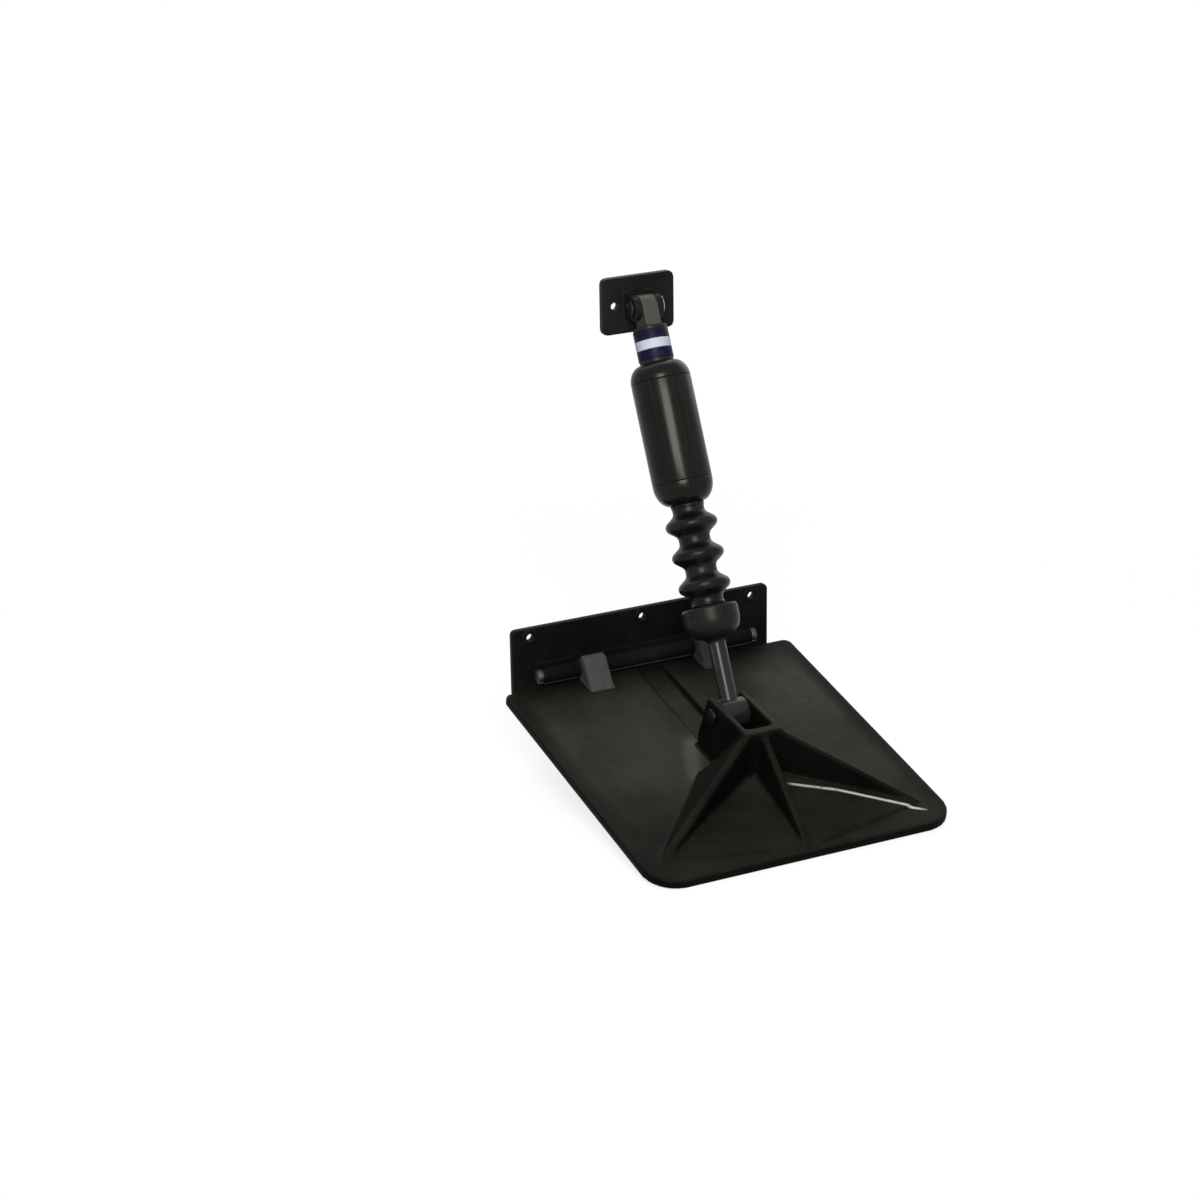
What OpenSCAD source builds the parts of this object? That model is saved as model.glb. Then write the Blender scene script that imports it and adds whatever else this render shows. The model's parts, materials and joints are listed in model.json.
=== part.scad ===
// Self-acting boat trim tab: a moulded plate hinged under the transom and held down by a gas strut in a rubber boot.
// X runs across the boat, -Y aft and +Z up. Y = 0 is the transom face and Z = 0 the height of the hinge pin.
// The tab is drawn at rest, with the strut at its full length and the plate at its lowest.

/* [Trim plate] */
// Width across the boat
plate_span = 241.3; // [200:0.1:300]
// Length from the leading to the trailing edge
plate_chord = 254; // [235:0.5:300]
// Thickness of the flat plate
plate_t = 7; // [5:0.5:10]
// Radius of the two trailing corners
trail_r = 24; // [8:1:36]
// Radius of the two leading corners
lead_r = 6; // [3:0.5:12]
// Leading edge's distance aft of the hinge pin
lead_gap = 4; // [3:0.5:8]
// Angle of the plate below level at rest
tab_rest = 11.5; // [6:0.5:16]
// Depth of the channel that runs from the hinge into the tower's slot
channel_depth = 4; // [1:0.5:4]

/* [Tower and ridges] */
// Height of the peak above the plate
peak_h = 49; // [47:0.5:60]
// Distance of the peak's front face aft of the hinge pin
peak_at = 179; // [172:1:190]
// Thickness of the wall under the peak
peak_wall = 9; // [5:0.5:14]
// Thickness of each cheek
cheek_t = 5; // [4:0.5:8]
// Where the cheeks begin, aft of the hinge pin
cheek_from = 112; // [104:1:116]
// Height of the cheeks where they begin
cheek_low_h = 10; // [6:1:16]
// Height of the cheeks' shoulder above the pivot hole
cheek_over_pivot = 10; // [8.5:0.25:11]
// Thickness of the three ridges
ridge_w = 6; // [4:0.5:9]
// Sideways reach of the side ridges
ridge_reach = 99; // [80:1:106]
// Where the side ridges end, aft of the hinge pin
ridge_end = 230; // [215:1:234]
// Where the middle ridge ends, aft of the hinge pin
middle_end = 250; // [235:1:252]
// Height at which the ridges run out
ridge_low_h = 2; // [1:0.5:4]
// Drop from the peak to the root of the side ridges
ridge_drop = 2; // [1:0.5:6]
// Sideways reach of the side ridges' sloping back
back_reach = 28; // [24:1:50]
// Where that sloping back begins, aft of the hinge pin
back_from = 148; // [130:1:160]
// Height of the shallow floor at the tower's foot
floor_h = 13; // [6:1:20]

/* [Hinge] */
// Width of the hinge bracket
hinge_w = 216; // [190:1:240]
// Height of the bracket above the hinge pin
hinge_up = 36; // [30:0.5:50]
// Depth of the bracket below the hinge pin
hinge_down = 18; // [12:0.5:20]
// Thickness of the bracket's wall
hinge_wall = 5; // [4:0.5:8]
// Corner radius of both brackets
bracket_r = 4; // [2:0.5:7]
// Distance of the hinge pin from the transom
hinge_out = 12.5; // [12:0.5:16]
// Diameter of the hinge pin
hinge_pin_d = 6; // [4:0.5:7]
// Outer radius of the hinge knuckles
knuckle_r = 6.5; // [5:0.25:6.75]
// Width of each knuckle on the plate
knuckle_w = 20; // [12:0.5:24]
// Width of each outer knuckle on the bracket
outer_knuckle_w = 30; // [18:0.5:32]
// Height of the plate's two straps above the hinge pin
strap_rise = 12; // [7:0.5:14]
// Length of the straps aft of the hinge pin
strap_len = 26; // [18:0.5:34]
// Sideways place of the plate's two knuckles
tab_knuckle_x = 48; // [40:1:60]
// Distance from the middle screw hole to the outer ones
hinge_screw_x = 93.5; // [85:0.5:98]
// Edge distance of the screw holes from the bracket's top
screw_edge = 7; // [6:0.5:10]
// Diameter of all the screw holes
screw_d = 5.6; // [4.5:0.1:7]
// Height of the raised pad round each screw hole
pad_h = 1; // [0.5:0.25:2]
// Diameter of the raised pad round each screw hole
pad_d = 12; // [9:0.5:13]

/* [Upper bracket] */
// Width of the upper bracket
upper_w = 58; // [52:0.5:70]
// Height of the upper bracket
upper_h = 42; // [34:0.5:55]
// Thickness of the upper bracket's base
upper_wall = 5; // [4:0.5:6]
// Height of the upper pivot above the hinge pin
upper_z = 272.5; // [268:0.5:290]
// Distance of the upper pivot from the transom
upper_out = 16; // [15.5:0.25:20]
// Distance between the upper bracket's two screw holes
upper_screw_gap = 38.4; // [36:0.2:44]
// Thickness of each ear
ear_t = 5; // [3.5:0.25:5]
// Radius of the ears and of the strut's upper eye
eye_r = 9; // [8:0.25:10]

/* [Strut] */
// Diameter of both pivot pins
pivot_pin_d = 8; // [6:0.25:9]
// Width of the strut's upper eye
upper_eye_w = 12; // [10:0.5:16]
// Distance from the upper pivot to the top of the neck
neck_from = 15; // [13:0.5:18]
// Diameter of the neck below the upper eye
neck_d = 25; // [20:0.5:30]
// Length of the neck
neck_len = 27; // [26:0.5:36]
// Width of the plain band round the neck
band_w = 22; // [8:0.5:25]
// Thickness of the plain band
band_t = 0.4; // [0.2:0.1:0.8]
// Diameter of the barrel
barrel_d = 44; // [42:0.5:50]
// Length of the barrel's sleeve
barrel_len = 75; // [74:0.5:90]
// Wall of the barrel's sleeve
barrel_wall = 2.5; // [2:0.25:3.5]
// Length of the rounded shoulder on the upper cap
shoulder_len = 13; // [9:0.5:14]
// Length of the rounded shoulder on the lower cap
low_shoulder_len = 16; // [12:0.5:17]
// Depth that each end cap reaches into the sleeve
cap_plug = 6; // [4:0.5:8]
// Diameter of the nose under the lower cap
nose_d = 20; // [18:0.5:22]
// Length of the nose under the lower cap
nose_len = 5; // [4:0.5:6]

/* [Gas spring] */
// Outer diameter of the gas cylinder
gas_d = 28; // [26:0.5:32]
// Wall of the gas cylinder
gas_wall = 2; // [1.5:0.25:3]
// Depth that the gas cylinder sinks into each end cap
gas_seat = 3; // [2:0.5:5]
// Length of the plug that closes the gas cylinder
plug_len = 6; // [4:0.5:7]
// Diameter of the piston rod
rod_d = 10; // [8:0.5:12]
// Length of the rod guide
guide_len = 10; // [7:0.5:11]
// Thickness of the rod seal
seal_len = 4; // [3:0.5:5]
// Length of the piston
piston_len = 9; // [7:0.5:10]
// Gap between the piston and the rod seal at full length
piston_gap = 1; // [0.5:0.25:2]
// Section of the ring that seals the piston
ring_w = 3; // [2:0.25:4]

/* [Boot and rod end] */
// Diameter of the boot's ribs
rib_d = 38; // [30:0.5:42]
// Diameter of the boot's narrow necks
boot_neck_d = 23; // [22.5:0.25:25]
// Wall of the boot
boot_wall = 1.5; // [1:0.1:1.5]
// Number of ribs on the boot
rib_count = 3; // [2:1:4]
// Width of a rib at its rim
rib_rim = 4.5; // [4:0.5:6]
// Width of a rib at its root
rib_root = 16; // [12:0.5:17]
// Length of the boot's two cuffs
cuff_len = 4; // [3.5:0.25:5]
// Distance from the lower pivot to the top of the rod end's cup
cup_up = 78; // [72:0.5:84]
// Diameter of the cup
cup_d = 41; // [34:0.5:44]
// Length of the cup's straight rim
cup_rim = 9; // [6:0.5:12]
// Thickness of the cup's lip
cup_lip = 2.5; // [2:0.25:4]
// Depth of the groove between the cup's lip and the boot
cup_groove = 2; // [1:0.25:3]
// Length of the cup's rounded bowl below its rim
cup_bowl = 14; // [10:0.5:18]
// Diameter of the rod end's shank
shank_d = 13; // [12:0.5:18]
// Depth of the rod's thread in the rod end
thread_len = 21; // [16:0.5:22]
// Width of the rod end's eye
lower_eye_w = 20; // [16:0.5:24]
// Radius of the rod end's eye
lower_eye_r = 10.5; // [9.5:0.25:12]
// Distance of the lower pivot aft of the hinge pin, along the plate
pivot_along = 131; // [126:0.5:136]
// Height of the lower pivot above the plate
pivot_over = 36; // [33:0.5:38]

/* [Clearances] */
// Gap at the faces of parts that move past each other
side_gap = 0.3; // [0.2:0.05:0.5]
// Radial clearance of a turning or sliding fit
run_gap = 0.05; // [0.02:0.01:0.1]
// Radial play of the rod end on its pin, which takes up the slack of the linkage
eye_play = 0.9; // [0.7:0.05:1.3]
// Gap between the plate and the bracket's knuckles
plate_gap = 0.5; // [0.3:0.1:1]

/* [Pins] */
// Diameter of the pivot pins' heads
head_d = 12; // [10:0.5:14]
// Thickness of the pivot pins' heads
head_t = 2.5; // [1.5:0.25:4]
// Outer diameter of the spring clips on the pivot pins
clip_d = 14; // [12:0.5:16]
// Thickness of the spring clips
clip_t = 1.2; // [0.8:0.1:1.6]
// Length of a pin's tip beyond its clip
tip_len = 2; // [1:0.25:4]
// Outer diameter of the caps on the hinge pin
cap_d = 11; // [9:0.5:12.5]
// Length of the caps on the hinge pin
cap_len = 5; // [3.5:0.5:8]

/* [Hidden] */
$fn = 96;
eps = 0.01;

// Plate: heights are measured from the hinge pin, square to the plate
plate_top = -knuckle_r - plate_gap;
plate_end = lead_gap + plate_chord;
pivot_n = plate_top + pivot_over;
slot_half = lower_eye_w / 2 + side_gap;
cheek_out = slot_half + cheek_t;
tab_knuckle_w = knuckle_w - 2 * side_gap;

// Strut: the line from the upper pivot to the lower one
lower_y = -hinge_out - pivot_along * cos(tab_rest) - pivot_n * sin(tab_rest);
lower_z = -pivot_along * sin(tab_rest) + pivot_n * cos(tab_rest);
strut_len = norm([lower_y + upper_out, upper_z - lower_z]);
lean = atan2(-upper_out - lower_y, upper_z - lower_z);

// Strut: distances down its axis from the upper pivot
neck_to = neck_from + neck_len;
sleeve_from = neck_to + shoulder_len;
sleeve_to = sleeve_from + barrel_len;
shoulder_to = sleeve_to + low_shoulder_len;
nose_to = shoulder_to + nose_len;
gas_from = sleeve_from + cap_plug - gas_seat;
gas_to = sleeve_to - cap_plug + gas_seat;
guide_from = gas_to - guide_len;
seal_from = guide_from - seal_len;
piston_to = seal_from - piston_gap;
piston_from = piston_to - piston_len;
cup_from = strut_len - cup_up;
rod_to = cup_from + thread_len;
boot_from = shoulder_to;
boot_to = cup_from - side_gap;

// Radii and small shares
gas_bore_r = gas_d / 2 - gas_wall;
sleeve_bore_r = barrel_d / 2 - barrel_wall;
spigot_r = nose_d / 2;
spigot_len = cuff_len - side_gap;
groove_r = gas_bore_r - ring_w;
stud_r = neck_d / 4;
stud_len = cap_plug;
nut_r = rod_d / 2 + 2;
ear_in = upper_eye_w / 2 + side_gap;
ear_out = ear_in + ear_t;
middle_half = tab_knuckle_x - knuckle_w / 2;
outer_from = tab_knuckle_x + knuckle_w / 2;
outer_to = outer_from + outer_knuckle_w;

// Places a shape drawn on the level plate on the tab at rest
module on_tab() {
    translate([0, -hinge_out, 0])
        rotate([tab_rest, 0, 0])
            children();
}

// Places a shape drawn round the Z axis on the strut, with z = 0 at the upper pivot
module on_strut() {
    translate([0, -upper_out, upper_z])
        rotate([-lean, 0, 0])
            children();
}

// A round bar along X from one place to another
module bar_x(from, to, r) {
    translate([from, 0, 0])
        rotate([0, 90, 0])
            cylinder(r = r, h = to - from);
}

// A tube on the strut's axis between two distances from the upper pivot
module tube(from, to, r, bore) {
    translate([0, 0, -to])
        difference() {
            cylinder(r = r, h = to - from);
            translate([0, 0, -eps])
                cylinder(r = bore, h = to - from + 2 * eps);
        }
}

// A solid round the strut's axis, from an outline of radius and distance down the axis
module turned(outline) {
    rotate_extrude()
        polygon([for (p = outline) [p[0], -p[1]]]);
}

// Points on a quarter ellipse between two outline points, widening down the axis
function shoulder(from, to, steps = 10) = [
    for (i = [0:steps])
        [
            from[0] + (to[0] - from[0]) * sin(90 * i / steps),
            to[1] + (from[1] - to[1]) * cos(90 * i / steps)
        ]
];

// Points on a quarter ellipse between two outline points, narrowing down the axis
function bowl(from, to, steps = 10) = [
    for (i = [0:steps])
        [
            to[0] + (from[0] - to[0]) * cos(90 * i / steps),
            from[1] + (to[1] - from[1]) * sin(90 * i / steps)
        ]
];

// Mirrored copies on both sides of the boat's centre line
module both_sides() {
    children();
    mirror([1, 0, 0])
        children();
}

// A rectangle with one radius on the two corners at its start and another on the two at its end
module corner_sheet(w, from, to, r_from, r_to) {
    translate([-w / 2, from + r_from])
        square([w, to - from - r_from - r_to]);
    translate([-w / 2 + r_from, from])
        square([w - 2 * r_from, r_from + eps]);
    translate([-w / 2 + r_to, to - r_to - eps])
        square([w - 2 * r_to, r_to + eps]);
    both_sides() {
        translate([w / 2 - r_from, from + r_from])
            circle(r = r_from);
        translate([w / 2 - r_to, to - r_to])
            circle(r = r_to);
    }
}

// A sheet that stands on the transom, drawn in X and Z, from the transom face outward
module on_transom(t) {
    rotate([90, 0, 0])
        linear_extrude(t)
            children();
}

// A pin along X with a head on its left end and a tip that carries a clip
module headed_pin(half) {
    bar_x(-half - head_t, -half, head_d / 2);
    bar_x(-half - eps, half + clip_t + tip_len, pivot_pin_d / 2);
}

// A spring clip that is pushed on a pin from one side
module spring_clip(half) {
    difference() {
        bar_x(half, half + clip_t, clip_d / 2);
        bar_x(half - eps, half + clip_t + eps, pivot_pin_d / 2);
        translate([half - eps, -pivot_pin_d * 0.4, 0])
            cube([clip_t + 2 * eps, pivot_pin_d * 0.8, clip_d]);
    }
}

// Transom bracket of the hinge: a wall with three screw holes and three knuckles
module hinge_bracket() {
    color([0.13, 0.13, 0.13])
        difference() {
            union() {
                on_transom(hinge_wall)
                    corner_sheet(hinge_w, -hinge_down, hinge_up, bracket_r, bracket_r);
                for (x = [-hinge_screw_x, 0, hinge_screw_x])
                    translate([x, 0, hinge_up - screw_edge])
                        on_transom(hinge_wall + pad_h)
                            circle(d = pad_d);
                bracket_knuckle(-middle_half, middle_half);
                both_sides()
                    bracket_knuckle(outer_from, outer_to);
            }
            for (x = [-hinge_screw_x, 0, hinge_screw_x])
                translate([x, eps, hinge_up - screw_edge])
                    on_transom(hinge_wall + pad_h + 2 * eps)
                        circle(d = screw_d);
            translate([0, -hinge_out, 0])
                bar_x(-hinge_w / 2, hinge_w / 2, hinge_pin_d / 2);
        }
}

// One knuckle on the bracket, with the web that carries it
module bracket_knuckle(from, to) {
    translate([0, -hinge_out, 0])
        bar_x(from, to, knuckle_r);
    translate([from, -hinge_out, -knuckle_r])
        cube([to - from, hinge_out - hinge_wall + eps, 2 * knuckle_r]);
}

// Rod that runs through all five knuckles
module hinge_pin() {
    pin_half = outer_to + cap_len / 2;
    color([0.75, 0.76, 0.78])
        translate([0, -hinge_out, 0])
            bar_x(-pin_half, pin_half, hinge_pin_d / 2);
}

// Push-on caps that keep the hinge pin in place
module hinge_pin_caps() {
    color([0.75, 0.76, 0.78])
        translate([0, -hinge_out, 0])
            both_sides()
                difference() {
                    bar_x(outer_to, outer_to + cap_len, cap_d / 2);
                    bar_x(outer_to - eps, outer_to + cap_len / 2, hinge_pin_d / 2);
                }
}

// Transom bracket of the strut: a base with two screw holes and two ears
module upper_bracket() {
    color([0.13, 0.13, 0.13])
        difference() {
            union() {
                translate([0, 0, upper_z])
                    on_transom(upper_wall)
                        corner_sheet(upper_w, -upper_h / 2, upper_h / 2, bracket_r, bracket_r);
                both_sides()
                    translate([ear_in, -upper_out, upper_z]) {
                        bar_x(0, ear_t, eye_r);
                        translate([0, 0, -eye_r])
                            cube([ear_t, upper_out - upper_wall + eps, 2 * eye_r]);
                    }
            }
            for (x = [-upper_screw_gap / 2, upper_screw_gap / 2])
                translate([x, eps, upper_z])
                    on_transom(upper_wall + 2 * eps)
                        circle(d = screw_d);
            translate([0, -upper_out, upper_z])
                bar_x(-upper_w / 2, upper_w / 2, pivot_pin_d / 2);
        }
}

// Headed pin of the upper pivot
module upper_pivot_pin() {
    color([0.75, 0.76, 0.78])
        translate([0, -upper_out, upper_z])
            headed_pin(ear_out);
}

// Spring clip on the upper pin
module upper_pin_clip() {
    color([0.75, 0.76, 0.78])
        translate([0, -upper_out, upper_z])
            spring_clip(ear_out);
}

// Strut's upper eye, its tongue and the neck that the plain band lies round
module upper_end_fitting() {
    tongue_d = 2 * eye_r;
    color([0.13, 0.13, 0.13])
        on_strut()
            difference() {
                union() {
                    bar_x(-upper_eye_w / 2, upper_eye_w / 2, eye_r);
                    translate([-upper_eye_w / 2, -eye_r, -neck_from - eps])
                        cube([upper_eye_w, tongue_d, neck_from + eps]);
                    translate([0, 0, -neck_to])
                        cylinder(d = neck_d, h = neck_len);
                    translate([0, 0, -neck_to - stud_len])
                        cylinder(r = stud_r, h = stud_len + eps);
                }
                bar_x(-upper_eye_w, upper_eye_w, pivot_pin_d / 2 + run_gap);
            }
}

// Plain band stuck round the neck
module neck_band() {
    band_from = neck_from + (neck_len - band_w) / 2;
    color([0.72, 0.74, 0.86])
        on_strut()
            tube(band_from, band_from + band_w, neck_d / 2 + band_t, neck_d / 2);
}

// Rounded cap on the barrel's upper end, which seats the gas cylinder
module upper_cap() {
    color([0.14, 0.14, 0.14])
        on_strut()
            difference() {
                turned(concat(
                    [[0, neck_to]],
                    shoulder([neck_d / 2, neck_to], [barrel_d / 2, sleeve_from]),
                    [[sleeve_bore_r, sleeve_from], [sleeve_bore_r, sleeve_from + cap_plug], [0, sleeve_from + cap_plug]]
                ));
                translate([0, 0, -neck_to - stud_len])
                    cylinder(r = stud_r, h = stud_len + eps);
                translate([0, 0, -sleeve_from - cap_plug - eps])
                    cylinder(d = gas_d, h = gas_seat + eps);
            }
}

// Outer sleeve of the barrel
module barrel_sleeve() {
    color([0.16, 0.16, 0.16])
        on_strut()
            tube(sleeve_from, sleeve_to, barrel_d / 2, sleeve_bore_r);
}

// Rounded cap on the barrel's lower end, with the nose that the boot grips
module lower_cap() {
    color([0.14, 0.14, 0.14])
        on_strut()
            difference() {
                turned(concat(
                    [[0, sleeve_to - cap_plug], [sleeve_bore_r, sleeve_to - cap_plug], [sleeve_bore_r, sleeve_to]],
                    bowl([barrel_d / 2, sleeve_to], [boot_neck_d / 2, shoulder_to]),
                    [[spigot_r, shoulder_to], [spigot_r, nose_to], [0, nose_to]]
                ));
                translate([0, 0, -sleeve_to + cap_plug - gas_seat])
                    cylinder(d = gas_d, h = gas_seat + eps);
                translate([0, 0, -nose_to - eps])
                    cylinder(r = rod_d / 2 + side_gap, h = nose_to);
            }
}

// Steel tube that holds the gas
module gas_cylinder() {
    color([0.55, 0.56, 0.58])
        on_strut()
            tube(gas_from, gas_to, gas_d / 2, gas_bore_r);
}

// Plug that closes the gas cylinder's upper end
module cylinder_plug() {
    color([0.55, 0.56, 0.58])
        on_strut()
            translate([0, 0, -gas_from - plug_len])
                cylinder(r = gas_bore_r, h = plug_len);
}

// Bush that the rod slides through
module rod_guide() {
    color([0.7, 0.6, 0.35])
        on_strut()
            tube(guide_from, gas_to, gas_bore_r, rod_d / 2 + run_gap);
}

// Lip seal above the rod guide
module rod_seal() {
    color([0.08, 0.08, 0.08])
        on_strut()
            tube(seal_from, guide_from, gas_bore_r, rod_d / 2 + run_gap);
}

// Places of the boot's ribs along the strut
function rib_place(i) = boot_from + cuff_len
    + (boot_to - boot_from - 2 * cuff_len) * (i + 0.5) / rib_count;

// The boot's outline between its cuffs, drawn inward by a wall
function boot_side(wall) = [
    for (i = [0:rib_count - 1])
        each [
            [boot_neck_d / 2 - wall, rib_place(i) - rib_root / 2 + wall],
            [rib_d / 2 - wall, rib_place(i) - rib_rim / 2 + wall],
            [rib_d / 2 - wall, rib_place(i) + rib_rim / 2 - wall],
            [boot_neck_d / 2 - wall, rib_place(i) + rib_root / 2 - wall]
        ]
];

// Points of a list in reverse order
function backwards(list) = [for (i = [len(list) - 1:-1:0]) list[i]];

// Ribbed rubber boot round the rod
module boot() {
    neck_r = boot_neck_d / 2;
    inner_r = neck_r - boot_wall;
    grip_r = spigot_r + side_gap;
    color([0.1, 0.1, 0.1])
        on_strut()
            turned(concat(
                [[neck_r, boot_from]],
                boot_side(0),
                [[neck_r, boot_to], [grip_r, boot_to], [grip_r, boot_to - cuff_len]],
                [[inner_r, boot_to - cuff_len - boot_wall]],
                backwards(boot_side(boot_wall)),
                [[inner_r, nose_to + boot_wall], [spigot_r, nose_to], [spigot_r, boot_from]]
            ));
}

// Bright rod that slides out of the barrel
module piston_rod() {
    color([0.8, 0.81, 0.83])
        on_strut()
            translate([0, 0, -rod_to])
                cylinder(d = rod_d, h = rod_to - piston_from);
}

// Piston on the rod's upper end, with the groove for its ring
module piston() {
    ring_from = (piston_from + piston_to - ring_w) / 2;
    color([0.6, 0.6, 0.62])
        on_strut()
            difference() {
                tube(piston_from, piston_to, gas_bore_r - side_gap, rod_d / 2);
                tube(ring_from, ring_from + ring_w, gas_bore_r, groove_r);
            }
}

// Ring that seals the piston in the gas cylinder
module piston_ring() {
    ring_from = (piston_from + piston_to - ring_w) / 2;
    color([0.06, 0.06, 0.06])
        on_strut()
            tube(ring_from, ring_from + ring_w, gas_bore_r - run_gap, groove_r);
}

// Moulded end of the rod: a cup under the boot, a shank and an eye
module rod_end() {
    lip_r = cup_d / 2;
    foot_r = shank_d / 2 + cup_lip;
    bowl_to = cup_from + cup_rim + cup_bowl;
    color([0.16, 0.16, 0.17])
        on_strut()
            difference() {
                union() {
                    turned(concat(
                        [[0, cup_from - spigot_len], [spigot_r, cup_from - spigot_len]],
                        [[spigot_r, cup_from + cup_groove], [lip_r - cup_lip, cup_from + cup_groove]],
                        [[lip_r - cup_lip, cup_from]],
                        shoulder([lip_r - cup_lip / 2, cup_from], [lip_r, cup_from + cup_lip]),
                        bowl([lip_r, cup_from + cup_rim], [foot_r, bowl_to]),
                        [[shank_d / 2, bowl_to + cup_lip], [shank_d / 2, strut_len], [0, strut_len]]
                    ));
                    translate([0, 0, -strut_len])
                        bar_x(-lower_eye_w / 2, lower_eye_w / 2, lower_eye_r);
                }
                translate([0, 0, -rod_to])
                    cylinder(d = rod_d, h = rod_to - cup_from + cuff_len + eps);
                translate([0, 0, -strut_len])
                    bar_x(-lower_eye_w, lower_eye_w, pivot_pin_d / 2 + eye_play);
            }
}

// Moulded trim plate with its hinge straps, tower and ridges
module trim_plate() {
    color([0.15, 0.15, 0.14])
        on_tab()
            difference() {
                union() {
                    plate_slab();
                    both_sides() {
                        strap();
                        cheek();
                        side_ridge();
                        floor_facet();
                    }
                    peak_block();
                    middle_ridge();
                }
                bar_x(-plate_span / 2, plate_span / 2, hinge_pin_d / 2 + run_gap);
                translate([0, -pivot_along, pivot_n])
                    bar_x(-cheek_out - eps, cheek_out + eps, pivot_pin_d / 2);
            }
}

// Flat plate with the channel cut along its middle, as wide as the tower's slot
module plate_slab() {
    difference() {
        translate([0, 0, plate_top - plate_t])
            linear_extrude(plate_t)
                corner_sheet(plate_span, -plate_end, -lead_gap, trail_r, lead_r);
        translate([-slot_half, peak_wall - peak_at, plate_top - channel_depth])
            cube([2 * slot_half, peak_at - peak_wall, channel_depth + eps]);
    }
}

// One of the plate's two hinge knuckles, with the strap that runs down to the plate
module strap() {
    translate([tab_knuckle_x - tab_knuckle_w / 2, 0, 0]) {
        bar_x(0, tab_knuckle_w, knuckle_r);
        on_side(tab_knuckle_w)
            polygon([
                [0, strap_rise],
                [knuckle_r, strap_rise],
                [strap_len, plate_top],
                [strap_len, plate_top - eps],
                [lead_gap, plate_top - plate_t / 2],
                [0, -knuckle_r]
            ]);
    }
}

// Raises a side outline, drawn aft and up, to a slab of some width along +X
module on_side(w) {
    rotate([90, 0, -90])
        mirror([0, 0, 1])
            linear_extrude(w)
                children();
}

// One cheek of the tower, which carries an end of the lower pin
module cheek() {
    shoulder_n = pivot_n + cheek_over_pivot;
    translate([slot_half, 0, 0])
        on_side(cheek_t)
            polygon([
                [cheek_from, plate_top - channel_depth - eps],
                [cheek_from, plate_top + cheek_low_h],
                [pivot_along - lower_eye_r, shoulder_n],
                [peak_at - peak_wall, plate_top + peak_h],
                [peak_at, plate_top + peak_h],
                [peak_at, plate_top - channel_depth - eps]
            ]);
}

// Wall that joins the two cheeks under the peak
module peak_block() {
    translate([-slot_half - eps, -peak_at, plate_top - eps])
        cube([2 * slot_half + 2 * eps, peak_wall, peak_h + eps]);
}

// One upright post with a round section, used as an end of a ridge
module post(x, along, h) {
    translate([x, -along, plate_top - eps])
        cylinder(d = ridge_w, h = h + eps, $fn = 24);
}

// One side ridge: steep in front, and sloping back to the plate
module side_ridge() {
    hull() {
        post(cheek_out - ridge_w / 2, peak_at - ridge_w / 2, peak_h - ridge_drop);
        post(ridge_reach, ridge_end, ridge_low_h);
        post(back_reach, back_from, ridge_low_h / 2);
    }
}

// Middle ridge from the peak to the trailing edge
module middle_ridge() {
    hull() {
        post(0, peak_at - ridge_w / 2, peak_h - ridge_drop);
        post(0, middle_end, ridge_low_h);
    }
}

// Shallow facet between the middle ridge and a side ridge
module floor_facet() {
    hull() {
        post(cheek_out - ridge_w / 2, peak_at, floor_h);
        post(ridge_w / 2, peak_at, floor_h);
        post(ridge_reach, ridge_end, ridge_low_h);
        post(ridge_w / 2, middle_end, ridge_low_h / 2);
    }
}

// Headed pin of the lower pivot
module lower_pivot_pin() {
    color([0.75, 0.76, 0.78])
        on_tab()
            translate([0, -pivot_along, pivot_n])
                headed_pin(cheek_out);
}

// Spring clip on the lower pin
module lower_pin_clip() {
    color([0.75, 0.76, 0.78])
        on_tab()
            translate([0, -pivot_along, pivot_n])
                spring_clip(cheek_out);
}

hinge_bracket();
hinge_pin();
hinge_pin_caps();
upper_bracket();
upper_pivot_pin();
upper_pin_clip();
upper_end_fitting();
neck_band();
upper_cap();
barrel_sleeve();
lower_cap();
gas_cylinder();
cylinder_plug();
rod_guide();
rod_seal();
boot();
piston_rod();
piston();
piston_ring();
rod_end();
trim_plate();
lower_pivot_pin();
lower_pin_clip();
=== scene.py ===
# %% [markdown]
# A self-acting boat trim tab, dressed for a studio picture.
#
# The real thing is a black moulded plate that hangs on a hinge under a boat's transom. A gas strut in a
# rubber boot pushes the plate down, and the water pushes it up again. The solids come in as a fixed
# frame, already in place and at their real size, so this lesson only gives them the rounded edges, the
# soft boot and the finishes of the real one.

# %% Load the solids and measure them
import json
import math

import bmesh
import bpy
from mathutils import Matrix, Vector


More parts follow.
